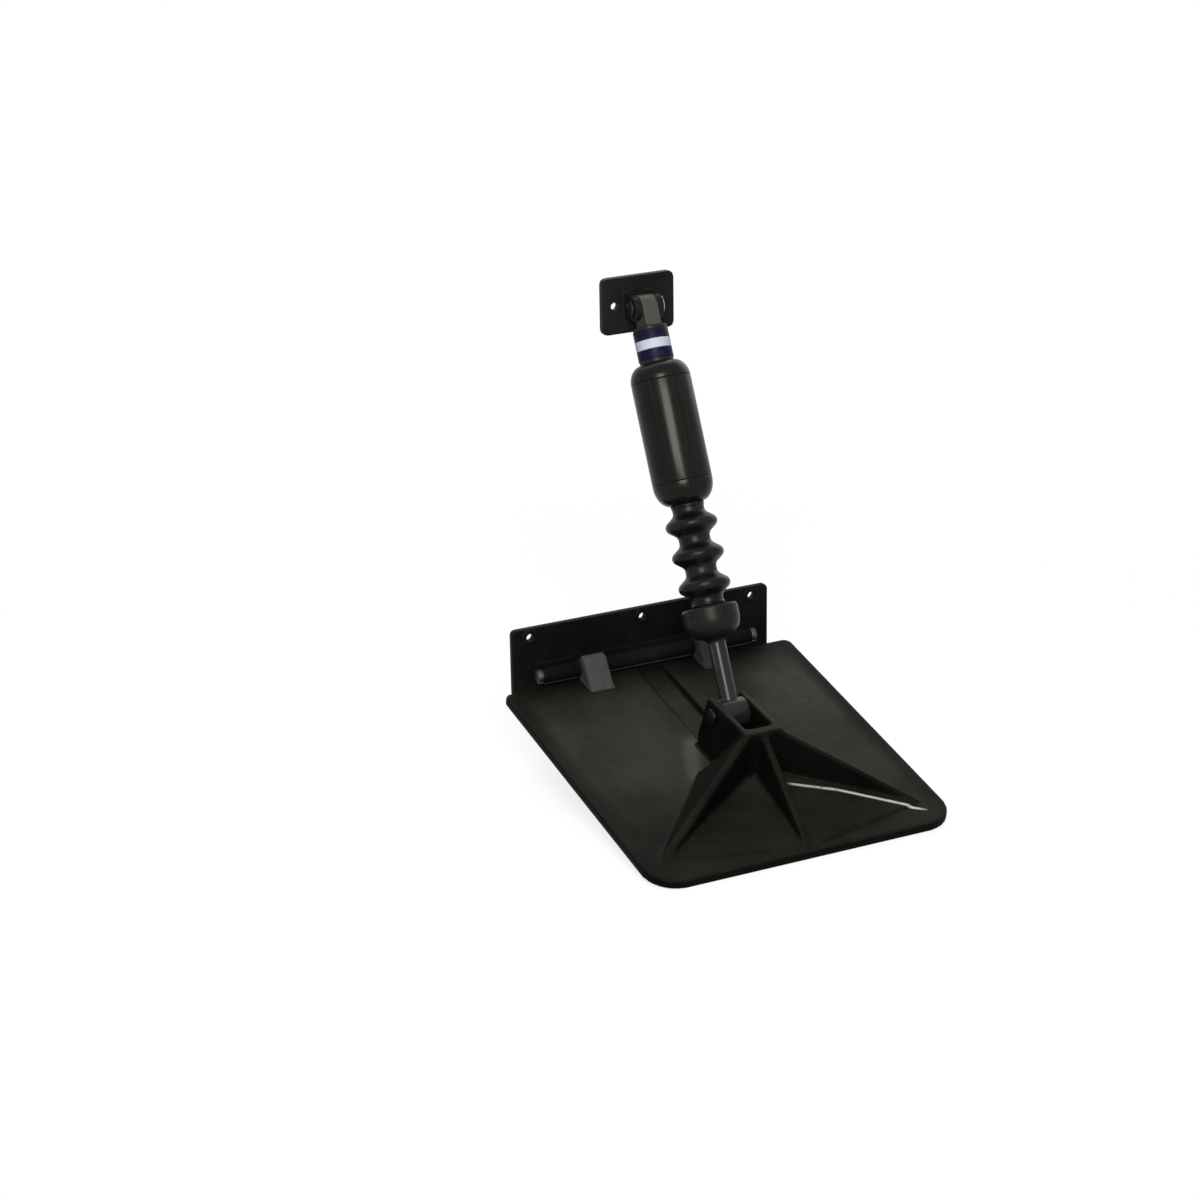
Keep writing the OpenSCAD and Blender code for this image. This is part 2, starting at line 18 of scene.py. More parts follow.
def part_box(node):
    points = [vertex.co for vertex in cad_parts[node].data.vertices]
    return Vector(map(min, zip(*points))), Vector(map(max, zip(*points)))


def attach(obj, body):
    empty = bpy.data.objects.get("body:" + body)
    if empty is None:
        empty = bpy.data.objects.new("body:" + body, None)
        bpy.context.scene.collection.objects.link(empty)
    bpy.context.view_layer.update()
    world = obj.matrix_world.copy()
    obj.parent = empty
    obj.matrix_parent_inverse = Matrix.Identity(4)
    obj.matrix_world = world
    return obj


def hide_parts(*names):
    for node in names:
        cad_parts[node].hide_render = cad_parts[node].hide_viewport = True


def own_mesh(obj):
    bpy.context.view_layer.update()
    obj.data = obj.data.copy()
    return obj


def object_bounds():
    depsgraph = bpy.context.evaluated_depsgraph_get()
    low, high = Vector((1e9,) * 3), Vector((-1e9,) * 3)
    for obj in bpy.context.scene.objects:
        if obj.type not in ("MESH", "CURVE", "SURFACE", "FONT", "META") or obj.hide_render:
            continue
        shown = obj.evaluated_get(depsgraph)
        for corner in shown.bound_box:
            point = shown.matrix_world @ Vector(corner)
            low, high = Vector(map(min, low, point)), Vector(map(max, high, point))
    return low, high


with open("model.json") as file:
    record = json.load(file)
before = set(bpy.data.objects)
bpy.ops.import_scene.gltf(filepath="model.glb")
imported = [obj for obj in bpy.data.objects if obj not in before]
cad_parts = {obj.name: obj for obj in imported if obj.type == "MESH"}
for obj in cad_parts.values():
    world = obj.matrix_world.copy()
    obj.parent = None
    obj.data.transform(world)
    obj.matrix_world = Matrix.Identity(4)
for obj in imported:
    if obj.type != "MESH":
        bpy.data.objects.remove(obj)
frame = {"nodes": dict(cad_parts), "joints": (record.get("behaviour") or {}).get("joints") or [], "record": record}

MM = 0.001
nodes = frame["nodes"]
joints = {joint["name"]: joint for joint in frame["joints"]}
cad_low, cad_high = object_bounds()
print("solids:", len(nodes), "box in mm:", [round(v / MM, 1) for v in cad_high - cad_low])

# %% [markdown]
# The strut leans, so its pieces are easiest to describe by how far down the strut they are and how far
# from its axis. The swing joint gives the upper pivot and the slide joint gives the direction of the
# axis.

# %% The strut's own measuring line
strut_top = Vector(joints["strut_swing"]["pos_m"])
strut_up = Vector(joints["rod_slide"]["axis"]).normalized()
ACROSS = Vector((1, 0, 0))
UP = Vector((0, 0, 1))


def down_strut(distance):
    """The point on the strut's axis at a distance below the upper pivot, in metres."""
    return strut_top - strut_up * distance


def stretch(node):
    """How far down the strut a solid starts and ends."""
    places = [(strut_top - v.co).dot(strut_up) for v in nodes[node].data.vertices]
    return min(places), max(places)


def off_axis(point):
    """The distance of a point from the strut's axis."""
    arm = point - strut_top
    return (arm - strut_up * arm.dot(strut_up)).length


def girth(node):
    """The largest distance of a solid from the strut's axis."""
    return max(off_axis(v.co) for v in nodes[node].data.vertices)


for name in ("neck_band", "barrel_sleeve", "boot", "rod_end"):
    start, end = stretch(name)
    print(f"{name}: {start / MM:.1f} to {end / MM:.1f} mm down, radius {girth(name) / MM:.1f} mm")

# %% [markdown]
# The picture is taken from the port side, a little above, with a long lens. A camera is a box that
# looks along its own -Z, so its three axes are written as the columns of its matrix. A small roll
# matches the photograph's tilt.

# %% Camera
AZIMUTH = math.radians(25.72)
ELEVATION = math.radians(20.71)
ROLL = math.radians(-1.02)
LOOK_AT = Vector((-0.0327, 0, 0.0462))
DISTANCE = 2.2516
LENS = 90
SENSOR = 36

forward = Vector((
    math.sin(AZIMUTH) * math.cos(ELEVATION),
    math.cos(AZIMUTH) * math.cos(ELEVATION),
    -math.sin(ELEVATION),
))
level = Vector((math.cos(AZIMUTH), -math.sin(AZIMUTH), 0))
upright = level.cross(forward)
picture_right = level * math.cos(ROLL) + upright * math.sin(ROLL)
picture_up = upright * math.cos(ROLL) - level * math.sin(ROLL)
camera_turn = Matrix((picture_right, picture_up, -forward)).transposed().to_4x4()

camera_data = bpy.data.cameras.new("camera")
camera_data.lens = LENS
camera_data.sensor_width = SENSOR
camera = bpy.data.objects.new("camera", camera_data)
camera.matrix_world = Matrix.Translation(LOOK_AT - forward * DISTANCE) @ camera_turn
bpy.context.scene.collection.objects.link(camera)
bpy.context.scene.camera = camera
bpy.context.scene.view_settings.view_transform = "Standard"
print("camera stands at", [round(v, 3) for v in camera.matrix_world.translation])

# %% [markdown]
# Every finish below is a small graph of shader nodes. Writing the sums as Python expressions keeps them
# readable, so one class wraps a socket and turns +, -, * and / into Math nodes. Any other node comes
# from one method, which sets the node's settings first and then its sockets.

# %% Sums of sockets


class Value:
    """A number, colour or direction that changes over a surface: one output socket with arithmetic."""

    def __init__(self, graph, socket):
        self.graph = graph
        self.socket = socket

    def combine(self, operation, first, second):
        return self.graph.node("ShaderNodeMath", {"operation": operation}, {0: first, 1: second})

    def __add__(self, other):
        return self.combine("ADD", self, other)

    def __radd__(self, other):
        return self.combine("ADD", other, self)

    def __sub__(self, other):
        return self.combine("SUBTRACT", self, other)

    def __rsub__(self, other):
        return self.combine("SUBTRACT", other, self)

    def __mul__(self, other):
        return self.combine("MULTIPLY", self, other)

    def __rmul__(self, other):
        return self.combine("MULTIPLY", other, self)

    def __truediv__(self, other):
        return self.combine("DIVIDE", self, other)

    def larger(self, other):
        return self.combine("MAXIMUM", self, other)

    def unsigned(self):
        return self.combine("ABSOLUTE", self, 0)


class Graph:
    """A tree of shader nodes."""

    def __init__(self, tree):
        self.tree = tree

    def node(self, kind, settings=None, sockets=None, output=0):
        made = self.tree.nodes.new(kind)
        for key, value in (settings or {}).items():
            setattr(made, key, value)
        for key, value in (sockets or {}).items():
            self.feed(made.inputs[key], value)
        return Value(self, made.outputs[output])

    def feed(self, socket, value):
        if isinstance(value, Value):
            self.tree.links.new(value.socket, socket)
        else:
            socket.default_value = value

    def step(self, value, low, high):
        """0 below low, 1 above high, and a smooth rise between."""
        settings = {"interpolation_type": "SMOOTHSTEP"}
        sockets = {"Value": value, "From Min": low, "From Max": high}
        return self.node("ShaderNodeMapRange", settings, sockets)


print("sockets can be added, multiplied and stepped")

# %% [markdown]
# A finish is a material whose shader is fed by such a graph. All of them use the same few tools: clouds
# of noise, a blend of two colours, a distance along a direction and a fine relief. Pointiness tells the
# outer edges of a dense mesh, which are rubbed on a used part, from the inner corners, where dust stays;
# on the nylon both are also lightened as a painted highlight.

# %% A finish and its tools
EDGE = (0.53, 0.62)
CORNER = (0.38, 0.47)


class Finish(Graph):
    """A material whose Principled shader is fed by nodes."""

    def __init__(self, name):
        self.material = bpy.data.materials.new(name)
        self.material.use_nodes = True
        super().__init__(self.material.node_tree)
        self.shader = self.tree.nodes["Principled BSDF"]
        self.place = self.node("ShaderNodeTexCoord", output="Object")

    def set(self, sockets):
        for key, value in sockets.items():
            self.feed(self.shader.inputs[key], value)

    def mapped(self, place, **sockets):
        """A place that is turned or stretched."""
        return self.node("ShaderNodeMapping", None, {"Vector": place, **sockets})

    def noise(self, size, detail=2, place=None, roughness=0.5):
        """Soft clouds from 0 to 1, with blobs of about the given size in metres."""
        sockets = {"Vector": place or self.place, "Scale": 1 / size}
        sockets |= {"Detail": detail, "Roughness": roughness}
        return self.node("ShaderNodeTexNoise", None, sockets)

    def blend(self, share, first, second):
        """A colour between two colours."""
        first, second = [c if isinstance(c, Value) else (*c, 1) for c in (first, second)]
        return self.node("ShaderNodeMix", {"data_type": "RGBA"}, {0: share, 6: first, 7: second}, 2)

    def dot(self, vector, direction):
        """How far a place or a normal reaches along a fixed direction."""
        settings = {"operation": "DOT_PRODUCT"}
        return self.node("ShaderNodeVectorMath", settings, {0: vector, 1: tuple(direction)}, "Value")

    def along(self, direction):
        """The distance of a surface point along a direction."""
        return self.dot(self.place, direction)

    def bump(self, height, depth):
        """Feeds a height from 0 to 1 to the Normal, as a relief of some depth in metres."""
        self.set({"Normal": self.node("ShaderNodeBump", None, {"Height": height, "Distance": depth})})

    def edges(self):
        """1 on the outer edges and 0 elsewhere."""
        return self.step(self.node("ShaderNodeNewGeometry", output="Pointiness"), *EDGE)

    def corners(self):
        """1 in the inner corners and 0 elsewhere."""
        return 1 - self.step(self.node("ShaderNodeNewGeometry", output="Pointiness"), *CORNER)


print("tools of a finish:", [tool for tool in vars(Finish) if not tool.startswith("_")])

# %% [markdown]
# The plate slopes, so a mark on it is placed by its distance aft of the hinge pin, its height above the
# pin square to the plate, and its distance to starboard. Each of these is a dot product of the surface
# point with a direction. How far a face looks up is the dot product of the surface's normal with the
# plate's upward direction.

# %% Measures on the plate
PLATE_TILT = math.radians(11.5)
hinge_at = Vector(joints["tab_swing"]["pos_m"])
plate_up = Vector((0, -math.sin(PLATE_TILT), math.cos(PLATE_TILT)))
plate_aft = Vector((0, -math.cos(PLATE_TILT), -math.sin(PLATE_TILT)))


def aft_of_hinge(finish):
    return finish.along(plate_aft) - hinge_at.dot(plate_aft)


def above_hinge(finish):
    return finish.along(plate_up) - hinge_at.dot(plate_up)


def to_starboard(finish):
    return finish.along(ACROSS)


def looks_up(finish):
    """1 where the surface is level with the plate, 0 on a wall and -1 below."""
    return finish.dot(finish.node("ShaderNodeTexCoord", output="Normal"), plate_up)


print("the plate points aft along", [round(v, 3) for v in plate_aft])

# %% [markdown]
# The faces that look up are painted paler than steep walls, as painted top light. It is left out beside
# the hinge as painted shade under the bracket, fades at the plate's sides and towards the trailing edge,
# where the limit runs aslant, and is strongest on the starboard side behind the bracket. A mask says
# where it lies.

# %% Painted top light
NEARLY_LEVEL = (0.90, 1.0)
HINGE_SHADE = (8 * MM, 47 * MM)
SIDE_FADE = (103 * MM, 116 * MM)
TRAILING_FADE = (145 * MM, 235 * MM)
TRAILING_SLANT = 0.3
BRIGHT_SIDE = (45 * MM, 85 * MM)
BRIGHT_END = (75 * MM, 130 * MM)
FAINTEST = 0.05
BRIGHTER = 0.80


def painted_top_light(finish):
    """1 on the faces that look up, as painted top light: more to starboard, less near the hinge, sides and aft."""
    aft = aft_of_hinge(finish)
    side = to_starboard(finish)
    lit_share = 1 - finish.step(aft - TRAILING_SLANT * side, *TRAILING_FADE)
    lit_share = lit_share * (1 - finish.step(side.unsigned(), *SIDE_FADE)) * finish.step(aft, *HINGE_SHADE)
    extra_light = BRIGHTER * finish.step(side, *BRIGHT_SIDE) * (1 - finish.step(aft, *BRIGHT_END))
    amount = FAINTEST + (1 - FAINTEST) * lit_share * (1 + extra_light)
    return finish.step(looks_up(finish), *NEARLY_LEVEL) * amount


print("film begins", HINGE_SHADE[0] / MM, "mm aft of the hinge")

# %% [markdown]
# A painted glint lies on the plate in a narrow line. It leaves the tower, meets the foot of the starboard
# ridge and follows it, so the line is placed by whichever of two slanted lines lies further aft.

# %% Painted glint line
FAIRLY_LEVEL = (0.6, 0.9)
GLINT_AFT, GLINT_SLOPE = 184.8 * MM, 0.453
FOOT_AFT, FOOT_SLOPE = 176.7 * MM, 0.623
LINE_NEAR, LINE_FAR = (-0.6 * MM, 0.6 * MM), (1.4 * MM, 3.4 * MM)
LINE_START, LINE_END = (13 * MM, 21 * MM), (98 * MM, 104 * MM)
LINE_BRIGHTENS = (20 * MM, 70 * MM)


# Mask of the painted glint.
def glint_line(finish):
    side = to_starboard(finish)
    glint_slant = GLINT_AFT + side * GLINT_SLOPE
    foot = FOOT_AFT + side * FOOT_SLOPE
    past = aft_of_hinge(finish) - glint_slant.larger(foot)
    line = finish.step(past, *LINE_NEAR) * (1 - finish.step(past, *LINE_FAR))
    ends = finish.step(side, *LINE_START) * (1 - finish.step(side, *LINE_END))
    bright = 0.75 + 0.25 * finish.step(side, *LINE_BRIGHTENS)
    return line * ends * bright * finish.step(looks_up(finish), *FAIRLY_LEVEL)


print("line is", round((LINE_FAR[0] - LINE_NEAR[1]) / MM, 1), "mm wide at full strength")

# %% [markdown]
# More marks are painted on the plate. Steep walls are painted darker, as painted shade. The two hinge
# straps, which are all that stands above the plate close to the hinge, are painted paler, as painted light
# on their faces. A soft painted highlight lies along the tower's port foot. Each mark is a mask from 0
# to 1 that blends in one more colour.

# %% Marks on the plate
WALL_SHADE = (0.0007, 0.0007, 0.0007)
STRAP_LIGHT = (0.0595, 0.0595, 0.0560)
GLINT = (0.4550, 0.4550, 0.4375)
FOOT_SHEEN = (0.0490, 0.0490, 0.0385)
STEEP_LIMIT = (0.30, 0.90)
STRAP_TOP = (-6.6 * MM, -5.0 * MM)
STRAP_END = (40 * MM, 45 * MM)
SHEEN_SIDE, SHEEN_AFT, SHEEN_SLOPE = -18 * MM, 108 * MM, 0.43
SHEEN_WIDTH = (1 * MM, 11 * MM)
SHEEN_START, SHEEN_END = (96 * MM, 110 * MM), (146 * MM, 162 * MM)


def patchy(scuffs):
    """How strongly a painted mark shows, which scuffs make uneven."""
    return 0.5 + scuffs * 0.6


# Mask of the painted light on the two hinge straps.
def straps(finish):
    near = 1 - finish.step(aft_of_hinge(finish), *STRAP_END)
    return finish.step(above_hinge(finish), *STRAP_TOP) * near


# Mask of a soft painted highlight along the tower's port foot.
def foot_sheen(finish):
    aft = aft_of_hinge(finish)
    off_line = to_starboard(finish) - SHEEN_SIDE + (aft - SHEEN_AFT) * SHEEN_SLOPE
    near_line = 1 - finish.step(off_line.unsigned(), *SHEEN_WIDTH)
    ends = finish.step(aft, *SHEEN_START) * (1 - finish.step(aft, *SHEEN_END))
    return near_line * ends * finish.step(looks_up(finish), *NEARLY_LEVEL)


def plate_marks(finish, colour, scuffs):
    """Adds painted shade on walls, painted highlights at the tower's foot and on the straps, and the glint."""
    steep = 1 - finish.step(looks_up(finish), *STEEP_LIMIT)
    # Steep walls are darkened: painted shade.
    colour = finish.blend(steep * 0.6, colour, WALL_SHADE)
    # Painted highlight at the tower's port foot.
    colour = finish.blend(foot_sheen(finish) * patchy(scuffs), colour, FOOT_SHEEN)
    # Painted light on the straps.
    colour = finish.blend(straps(finish) * patchy(scuffs), colour, STRAP_LIGHT)
    # Painted glint along the foot of the starboard ridge.
    return finish.blend(glint_line(finish) * finish.step(scuffs, 0.25, 0.5), colour, GLINT)


print("straps end", STRAP_END[1] / MM, "mm aft of the hinge")

# %% [markdown]
# The strut's two ends have a mark each. The tongue at the top swings between the bracket's ears and is
# painted paler, as painted light on its face. The shank at the bottom, below the cup, is smooth and
# shines, because the rest of the mould was spark-eroded and this part was polished.

# %% Marks on the strut's ends
TONGUE_LIGHT = (0.0630, 0.0630, 0.0578)
TONGUE_END = (14.0 * MM, 15.2 * MM)
CUP_LENGTH = 30 * MM
BLUR = 2 * MM
cup_end = stretch("rod_end")[0] + CUP_LENGTH


def below_pivot(finish):
    """The distance of a surface point down the strut from the upper pivot."""
    return strut_top.dot(strut_up) - finish.along(strut_up)


def tongue_light(finish, colour, scuffs):
    """Adds painted light on the tongue to the upper fitting's colour."""
    tongue = 1 - finish.step(below_pivot(finish), *TONGUE_END)
    # Painted light on the tongue's face.
    return finish.blend(tongue * patchy(scuffs), colour, TONGUE_LIGHT)


def shank(finish):
    """1 below the cup of the rod end."""
    return finish.step(below_pivot(finish), cup_end - BLUR, cup_end + BLUR)


print("the shank begins", round(cup_end / MM, 1), "mm down the strut")

# %% [markdown]
# The plate, the brackets and the strut's ends are moulded in glass-filled nylon: black, a little warm,
# with a fine pebbled skin from the spark-eroded mould. Its gloss is uneven, since handling polishes the
# high spots, and the melt leaves faint lines in the direction in which it flowed. One function makes
# the family, and each piece chooses its own tone, roughness and grain.

# %% Moulded black nylon
WARM = (1.0, 0.97, 0.86, 1.0)
DUST_AND_HIGHLIGHT = (0.2100, 0.2100, 0.1925)
CLOUD_SIZE = 45 * MM
SCUFF_SIZE = 6 * MM
FLOW_SIZE = 1.4 * MM
FLOW_STRETCH = (1, 0.04, 1)
TOP_LIGHT_TONE, EDGE_TONE = 3.2, 5
POLISH_COAT = 0.18


def moulded(name, dark, light, roughness, grain, depth, shine, top_light=0, marks=None, polish=None):
    finish = Finish(name)
    clouds = finish.noise(CLOUD_SIZE, 4)
    grit = finish.noise(grain, 3)
    scuffs = finish.noise(SCUFF_SIZE, 5, roughness=0.7)
    flow = finish.noise(FLOW_SIZE, 2, finish.mapped(finish.place, Scale=FLOW_STRETCH))
    shade = finish.step(clouds * 0.5 + grit * 0.2 + scuffs * 0.15 + flow * 0.15, 0.35, 0.65)
    colour = finish.blend(shade, dark, light)
    blotches = finish.step(clouds * 0.6 + scuffs * 0.4, 0.32, 0.68)
    # Faces that look up are painted paler here: painted top light.
    top_lit = painted_top_light(finish) * (0.29 + blotches * 0.41) * top_light
    colour = finish.blend(top_lit, colour, [TOP_LIGHT_TONE * v for v in light])
    # Outer edges are lightened by wear and also by a painted highlight along the crests.
    worn_and_lit = finish.edges() * finish.step(scuffs, 0.35, 0.6) * 0.6
    colour = finish.blend(worn_and_lit, colour, [EDGE_TONE * v for v in light])
    # Inner corners are lightened with dust, which also serves as a painted highlight in the creases.
    dusty = finish.corners() * finish.step(scuffs, 0.3, 0.6) * 0.4
    colour = finish.blend(dusty, colour, DUST_AND_HIGHLIGHT)
    if marks:
        colour = marks(finish, colour, scuffs)
    if polish:
        finish.set({"Coat Weight": polish(finish) * POLISH_COAT, "Coat Roughness": 0.10})
    rough = roughness + (clouds - 0.5) * 0.14 + (scuffs - 0.5) * 0.12 + (flow - 0.5) * 0.08
    finish.set({"Base Color": colour, "Roughness": rough})
    finish.set({"Specular IOR Level": shine, "Specular Tint": WARM})
    finish.bump(grit * 0.8 + scuffs * 0.2, depth)
    return finish.material


print("nylon has flow lines every", FLOW_SIZE / MM, "mm or so")

# %% [markdown]
# Five pieces of this nylon differ a little in tone. The plate and the hinge bracket carry the painted top
# light, the upper bracket does not, and the strut's two ends are smoother.

# %% Five tones of nylon
plate_nylon = moulded(
    "plate_nylon", dark=(0.0035, 0.0033, 0.0028), light=(0.0095, 0.0091, 0.0073), roughness=0.47,
    grain=1.1 * MM, depth=0.10 * MM, shine=0.018, top_light=1.0, marks=plate_marks,
)
bracket_nylon = moulded(
    "bracket_nylon", dark=(0.0024, 0.0024, 0.0023), light=(0.0070, 0.0070, 0.0066), roughness=0.42,
    grain=0.9 * MM, depth=0.08 * MM, shine=0.025, top_light=0.9,
)
upper_nylon = moulded(
    "upper_nylon", dark=(0.0053, 0.0053, 0.0049), light=(0.0133, 0.0133, 0.0126), roughness=0.40,
    grain=0.9 * MM, depth=0.08 * MM, shine=0.045,
)
fitting_nylon = moulded(
    "fitting_nylon", dark=(0.0080, 0.0080, 0.0077), light=(0.0168, 0.0168, 0.0159), roughness=0.34,
    grain=1.0 * MM, depth=0.05 * MM, shine=0.08, marks=tongue_light,
)
end_nylon = moulded(
    "end_nylon", dark=(0.0056, 0.0056, 0.0053), light=(0.0126, 0.0126, 0.0121), roughness=0.35,
    grain=1.0 * MM, depth=0.05 * MM, shine=0.08, polish=shank,
)
print("nylon of the plate:", len(plate_nylon.node_tree.nodes), "shader nodes")

# %% [markdown]
# The barrel is smoother than the brackets: a turned tube with a semi-gloss lacquer, so it shows long,
# clean highlights. Lacquer on a tube often carries faint streaks along its length, which a noise
# stretched along the strut's axis gives. The pattern is turned into the strut's direction by a Mapping
# node.

# %% Lacquered barrel
lean = strut_up.angle(UP)
STREAK_SIZE = 1.6 * MM
STREAK_STRETCH = (1, 1, 0.03)


def lacquer(name, dark, light, roughness):
    finish = Finish(name)
    turned_place = finish.mapped(finish.place, Rotation=(lean, 0, 0))
    streaks = finish.noise(STREAK_SIZE, 3, finish.mapped(turned_place, Scale=STREAK_STRETCH))
    clouds = finish.noise(30 * MM, 3)
    specks = finish.noise(1.2 * MM, 2)
    colour = finish.blend(finish.step(streaks * 0.5 + clouds * 0.5, 0.35, 0.65), dark, light)
    colour = finish.blend(finish.edges() * 0.3, colour, [EDGE_TONE * v for v in light])
    rough = roughness + (streaks - 0.5) * 0.10 + (specks - 0.5) * 0.06
    finish.set({"Base Color": colour, "Roughness": rough})
    finish.set({"Specular IOR Level": 0.08, "Specular Tint": WARM})
    finish.set({"Coat Weight": 0.08, "Coat Roughness": 0.15})
    finish.bump(specks * 0.4 + streaks * 0.6, 0.03 * MM)
    return finish.material


barrel_lacquer = lacquer(
    "barrel_lacquer", dark=(0.0028, 0.0027, 0.0023), light=(0.0070, 0.0068, 0.0058), roughness=0.27,
)
print("barrel finish made, strut leans", round(math.degrees(lean), 2), "degrees")

# %% [markdown]
# The boot is moulded rubber. Rubber is dark with a soft sheen, and the bloom that comes to its surface
# gathers a grey dust, most of it on the tops of the ribs.

# %% Rubber


def rubber(name, dark, dust, roughness):
    finish = Finish(name)
    bloom = finish.noise(12 * MM, 5, roughness=0.65)
    pores = finish.noise(0.7 * MM, 2)
    dusty = finish.step(bloom, 0.42, 0.72) * 0.55 + finish.edges() * 0.35
    rough = roughness + bloom * 0.2 + pores * 0.06
    finish.set({"Base Color": finish.blend(dusty, dark, dust), "Roughness": rough})
    finish.set({"Specular IOR Level": 0.11})
    finish.bump(pores, 0.06 * MM)
    return finish.material


boot_rubber = rubber(
    "boot_rubber", dark=(0.0028, 0.0028, 0.0026), dust=(0.0140, 0.0140, 0.0133), roughness=0.20,
)
seal_rubber = rubber(
    "seal_rubber", dark=(0.0105, 0.0105, 0.0105), dust=(0.0210, 0.0210, 0.0210), roughness=0.45,
)
print("rubber of the boot:", len(boot_rubber.node_tree.nodes), "shader nodes")

# %% [markdown]
# Pins, clips and the rod are metal. The hinge pin keeps the fine lines of drawing, the rod is chromed
# and the hidden bush is brass. Bare metal mirrors what is round it, so its look comes mostly from
# roughness. The two pivot pins are blackened, and shine through only where their edges are rubbed.

# %% Metals
LENGTHWISE = (1, 1, 0.05)
CROSSWISE = (0.05, 1, 1)


def metal(name, colour, roughness, lines, rubbed=None):
    finish = Finish(name)
    grain = finish.noise(0.5 * MM, 3, finish.mapped(finish.place, Scale=lines))
    blotches = finish.noise(4 * MM, 4)
    tone = finish.blend(finish.step(blotches, 0.3, 0.7), [0.82 * v for v in colour], colour)
    if rubbed:
        tone = finish.blend(finish.edges() * finish.step(blotches, 0.3, 0.6), tone, rubbed)
    rough = roughness + (grain - 0.5) * 0.16 + (blotches - 0.5) * 0.1
    finish.set({"Base Color": tone, "Metallic": 1.0, "Roughness": rough})
    finish.bump(grain, 0.02 * MM)
    return finish.material


stainless = metal("stainless", (0.50, 0.50, 0.49), 0.34, CROSSWISE)
dull_steel = metal("dull_steel", (0.075, 0.075, 0.072), 0.48, CROSSWISE)
black_pin = metal("black_pin", (0.022, 0.022, 0.022), 0.40, CROSSWISE, rubbed=(0.25, 0.25, 0.25))
cylinder_steel = metal("cylinder_steel", (0.30, 0.30, 0.31), 0.42, LENGTHWISE)
rod_chrome = metal("rod_chrome", (0.70, 0.70, 0.71), 0.10, LENGTHWISE)
piston_alloy = metal("piston_alloy", (0.60, 0.60, 0.60), 0.32, LENGTHWISE)
guide_brass = metal("guide_brass", (0.60, 0.43, 0.18), 0.35, LENGTHWISE)
print("finishes so far:", len(bpy.data.materials))

# %% [markdown]
# A plain printed band lies round the neck: dark blue with one pale stripe. The stripe is a step of the
# distance down the strut, given as a share of the band's width.

# %% Neck band
band_from, band_to = stretch("neck_band")
STRIPE_START, STRIPE_END = (0.33, 0.36), (0.64, 0.67)
SCUFFED = (0.1050, 0.1050, 0.1575)


def striped_band(name, blue, pale):
    finish = Finish(name)
    share = (below_pivot(finish) - band_from) / (band_to - band_from)
    share = share + (finish.noise(4 * MM, 2) - 0.5) * 0.02
    stripe = finish.step(share, *STRIPE_START) * (1 - finish.step(share, *STRIPE_END))
    rubbed = finish.step(finish.noise(3 * MM, 5, roughness=0.7), 0.58, 0.75) * 0.35
    colour = finish.blend(rubbed, finish.blend(stripe, blue, pale), SCUFFED)
    finish.set({"Base Color": colour, "Roughness": 0.36 + rubbed * 0.4})
    finish.set({"Specular IOR Level": 0.05})
    finish.bump(finish.noise(1.5 * MM, 2), 0.02 * MM)
    return finish.material


band_print = striped_band("band_print", (0.0053, 0.0053, 0.0210), (0.4375, 0.4375, 0.5162))
print("band is", round((band_to - band_from) / MM, 1), "mm wide")

# %% [markdown]
# A moulded part has no sharp edge anywhere, inside or out. The quick way to such rounding is to let
# Blender build the solid again from small cells and then smooth it: edges and inner corners both become
# fillets about as wide as a few cells. The two brackets are square to the axes, as the cells are, so
# modifiers on the solids do it, and the solids' own meshes stay as they are.

# %% Brackets


def soften(piece, cell, passes):
    remesh = piece.modifiers.new("cells", "REMESH")
    remesh.mode = "VOXEL"
    remesh.voxel_size = cell
    remesh.use_smooth_shade = True
    smooth = piece.modifiers.new("fillets", "SMOOTH")
    smooth.factor = 0.5
    smooth.iterations = passes


def paint(piece, material):
    piece.data.materials.clear()
    piece.data.materials.append(material)


for node, cell, material in (
    ("hinge_bracket", 0.7 * MM, bracket_nylon),
    ("upper_bracket", 0.5 * MM, upper_nylon),
):
    soften(nodes[node], cell, passes=3)
    paint(nodes[node], material)
    print(node, "softened with cells of", round(cell / MM, 2), "mm")

# %% [markdown]
# An edge that crosses the cells at a small angle would come out with fine steps. The plate and the two
# ends of the strut lean, so a copy of each is laid square, its loose triangles are joined, it is
# softened and then turned back, and it stands for the solid. A piece that stands for a solid rides on
# the same body.

# %% Plate and strut ends
bodies = frame["record"]["behaviour"]["bodies"]
body_of = {node: body for body, members in bodies.items() for node in members}
JOINED = 0.001 * MM


def stand_for(data, node, material):
    """Makes a piece of a mesh, which stands for a solid and rides on the same body."""
    for face in data.polygons:
        face.use_smooth = True
    piece = bpy.data.objects.new("dressed_" + node, data)
    bpy.context.scene.collection.objects.link(piece)
    paint(piece, material)
    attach(piece, body_of[node])
    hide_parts(node)
    return piece


def soften_turned(node, cell, material, angle):
    """Softens a copy of a solid that leans by an angle about the X axis, while it is laid square."""
    turn = Matrix.Rotation(-angle, 4, "X")
    square = bpy.data.objects.new("square_" + node, nodes[node].data.copy())
    square.data.transform(turn)
    bpy.context.scene.collection.objects.link(square)
    square.modifiers.new("weld", "WELD").merge_threshold = JOINED
    soften(square, cell, passes=4)
    softened = square.evaluated_get(bpy.context.evaluated_depsgraph_get())
    data = bpy.data.meshes.new_from_object(softened)
    data.name = "dressed_" + node
    data.transform(turn.inverted())
    bpy.data.objects.remove(square)
    return stand_for(data, node, material)


for node, cell, material, angle in (
    ("trim_plate", 1.35 * MM, plate_nylon, PLATE_TILT),
    ("upper_end_fitting", 0.5 * MM, fitting_nylon, -lean),
    ("rod_end", 0.5 * MM, end_nylon, -lean),
):
    moulding = soften_turned(node, cell, material, angle)
    print(node, "softened:", len(moulding.data.polygons), "faces")

